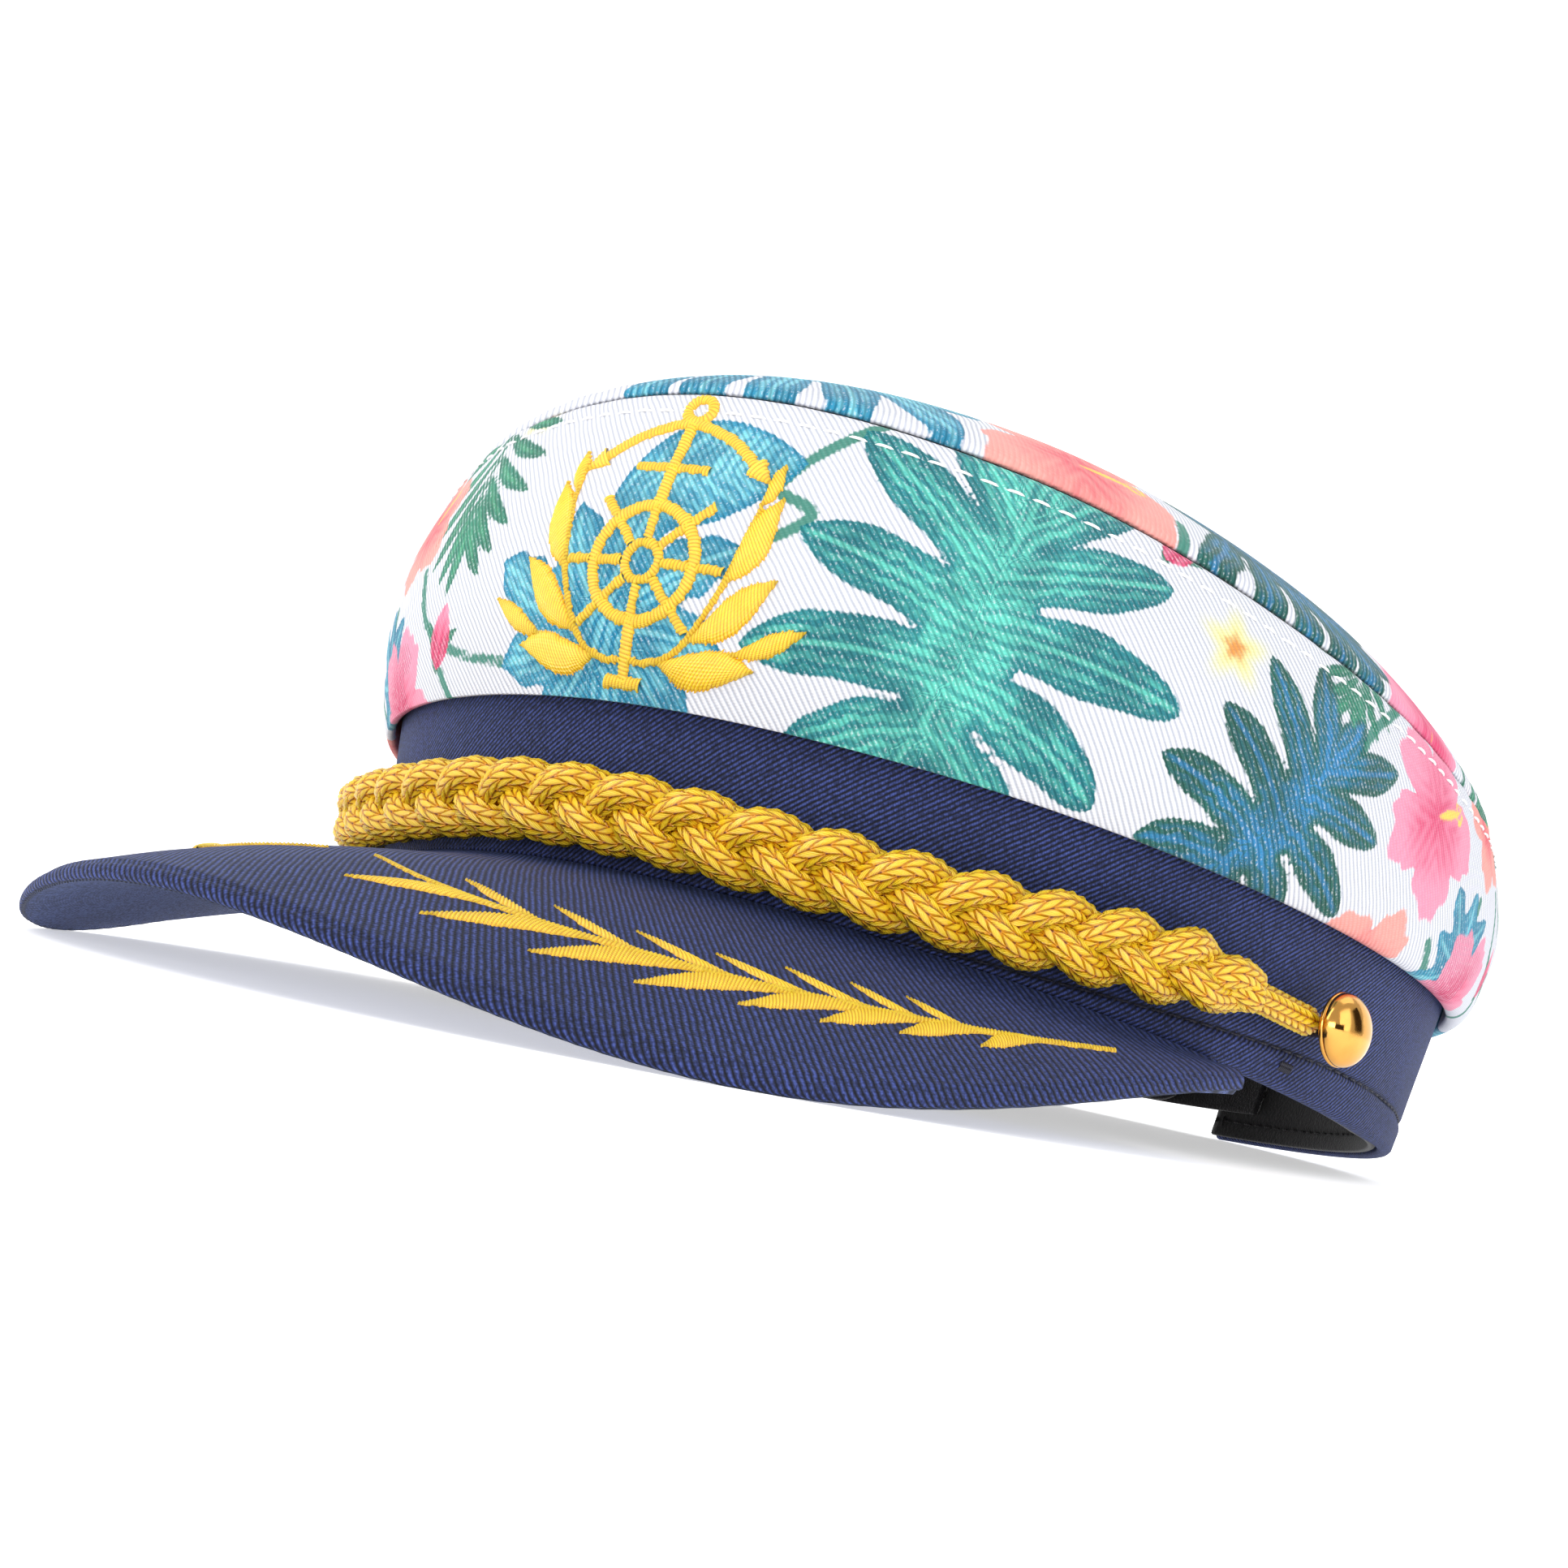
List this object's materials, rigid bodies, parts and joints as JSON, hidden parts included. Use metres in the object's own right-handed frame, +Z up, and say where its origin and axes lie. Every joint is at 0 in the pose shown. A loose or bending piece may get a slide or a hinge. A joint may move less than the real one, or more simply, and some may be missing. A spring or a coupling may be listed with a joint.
{
  "type": "captain hat",
  "caption": "Soft yacht captain hat: printed cloth crown on a navy band with a curved visor, gold plait between side buttons, lining band and an open back closed by a strap.",
  "frame": {"origin": "middle of the bounding box on the surface that the hat rests on, visor edge and back of the rim touching it", "axes": "-Y to the front of the hat (visor), +X to the wearer's left, +Z up from the surface"},
  "size_m": [0.1872, 0.2828, 0.0985],
  "materials": {
    "printed_cotton": "white cotton twill with a tropical leaf and flower print",
    "navy_twill": "matt navy cotton twill",
    "black_lining": "matt black lining cloth",
    "gold_yarn": "glossy gold-yellow yarn",
    "polished_gold": "polished gold-coloured metal"
  },
  "bodies": {
    "root": {"crown_side": "printed_cotton", "crown_top": "printed_cotton", "hat_band": "navy_twill", "visor": "navy_twill", "sweatband": "black_lining", "strap_left": "black_lining", "strap_right": "black_lining", "braid": "gold_yarn", "button_left": "polished_gold", "button_right": "polished_gold"}
  },
  "joints": []
}
